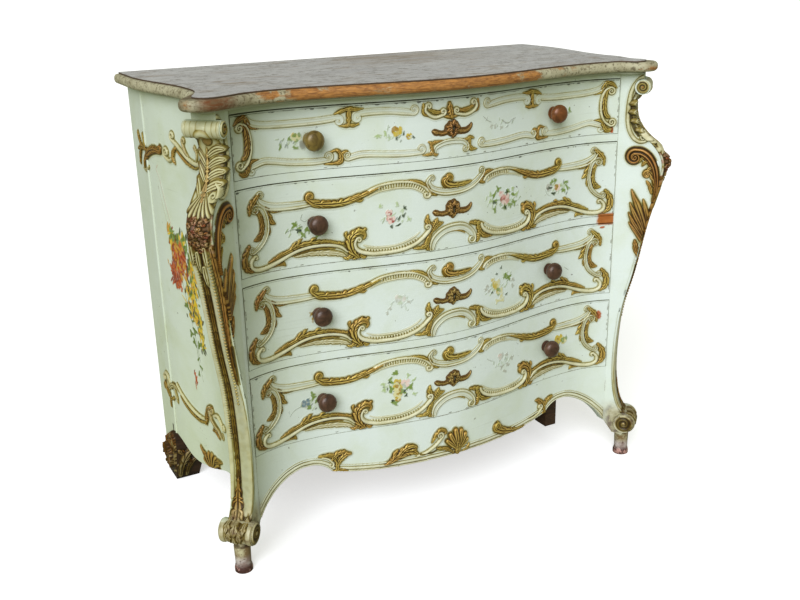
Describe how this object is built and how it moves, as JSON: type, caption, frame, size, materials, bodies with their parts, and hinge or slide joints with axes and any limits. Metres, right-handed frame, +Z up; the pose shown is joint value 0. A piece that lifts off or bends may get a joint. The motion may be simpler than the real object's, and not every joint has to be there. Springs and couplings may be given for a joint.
{
  "type": "chest of drawers",
  "caption": "Painted chest of drawers with a serpentine front, hollow sides, carved diagonal corner consoles, gilt scrollwork and painted flowers; the drawers slide and their lock bolts rise.",
  "frame": {"origin": "on the floor, under the middle of the chest's bounding box", "axes": "+X to the right as one faces the drawers, -Y forward out of the front, +Z up"},
  "size_m": [1.1638, 0.5856, 1.007],
  "materials": {
    "celadon_paint": "aged pale celadon paint on wood, with cream and gilt carving, chipped at the edges",
    "top_paint": "worn grey-lilac paint over cream, rubbed to orange-brown wood along the nose",
    "bare_wood": "old unpainted softwood, sawn and darkened",
    "dark_wood": "dark stained turned or carved wood, waxed",
    "worn_foot_paint": "greyish pink worn paint",
    "gilt": "antique gilding with a brown glaze",
    "iron": "dark iron"
  },
  "bodies": {
    "carcase": {"top": "top_paint", "left_side_panel": "celadon_paint", "right_side_panel": "celadon_paint", "left_front_stile": "celadon_paint", "right_front_stile": "celadon_paint", "left_rear_post": "celadon_paint", "right_rear_post": "celadon_paint", "top_front_rail": "celadon_paint", "drawer_rail_1": "celadon_paint", "drawer_rail_2": "celadon_paint", "drawer_rail_3": "celadon_paint", "bottom_front_rail": "bare_wood", "front_apron": "celadon_paint", "top_back_rail": "bare_wood", "bottom_back_rail": "bare_wood", "back_boards": "bare_wood", "drawer_runners": "bare_wood", "drawer_stops": "bare_wood", "apron_block": "dark_wood", "left_front_foot": "worn_foot_paint", "right_front_foot": "worn_foot_paint", "left_rear_foot": "dark_wood", "right_rear_foot": "dark_wood", "top_screws": "iron"},
    "drawer_1": {"drawer_1_front": "celadon_paint", "drawer_1_left_side": "bare_wood", "drawer_1_right_side": "bare_wood", "drawer_1_back": "bare_wood", "drawer_1_bottom": "bare_wood", "drawer_1_knobs": "dark_wood", "drawer_1_escutcheon": "gilt", "drawer_1_lock": "iron"},
    "bolt_1": {"drawer_1_bolt": "iron"},
    "drawer_2": {"drawer_2_front": "celadon_paint", "drawer_2_left_side": "bare_wood", "drawer_2_right_side": "bare_wood", "drawer_2_back": "bare_wood", "drawer_2_bottom": "bare_wood", "drawer_2_knobs": "dark_wood", "drawer_2_escutcheon": "gilt", "drawer_2_lock": "iron"},
    "bolt_2": {"drawer_2_bolt": "iron"},
    "drawer_3": {"drawer_3_front": "celadon_paint", "drawer_3_left_side": "bare_wood", "drawer_3_right_side": "bare_wood", "drawer_3_back": "bare_wood", "drawer_3_bottom": "bare_wood", "drawer_3_knobs": "dark_wood", "drawer_3_escutcheon": "gilt", "drawer_3_lock": "iron"},
    "bolt_3": {"drawer_3_bolt": "iron"},
    "drawer_4": {"drawer_4_front": "celadon_paint", "drawer_4_left_side": "bare_wood", "drawer_4_right_side": "bare_wood", "drawer_4_back": "bare_wood", "drawer_4_bottom": "bare_wood", "drawer_4_knobs": "dark_wood", "drawer_4_escutcheon": "gilt", "drawer_4_lock": "iron"},
    "bolt_4": {"drawer_4_bolt": "iron"}
  },
  "joints": [
    {"name": "drawer_1_slide", "type": "slide", "parent": "carcase", "child": "drawer_1", "axis": [0, -1, 0], "range_m": [0, 0.34]},
    {"name": "bolt_1_slide", "type": "slide", "parent": "drawer_1", "child": "bolt_1", "axis": [0, 0, 1], "range_m": [0, 0.009]},
    {"name": "drawer_2_slide", "type": "slide", "parent": "carcase", "child": "drawer_2", "axis": [0, -1, 0], "range_m": [0, 0.34]},
    {"name": "bolt_2_slide", "type": "slide", "parent": "drawer_2", "child": "bolt_2", "axis": [0, 0, 1], "range_m": [0, 0.009]},
    {"name": "drawer_3_slide", "type": "slide", "parent": "carcase", "child": "drawer_3", "axis": [0, -1, 0], "range_m": [0, 0.34]},
    {"name": "bolt_3_slide", "type": "slide", "parent": "drawer_3", "child": "bolt_3", "axis": [0, 0, 1], "range_m": [0, 0.009]},
    {"name": "drawer_4_slide", "type": "slide", "parent": "carcase", "child": "drawer_4", "axis": [0, -1, 0], "range_m": [0, 0.34]},
    {"name": "bolt_4_slide", "type": "slide", "parent": "drawer_4", "child": "bolt_4", "axis": [0, 0, 1], "range_m": [0, 0.009]}
  ]
}
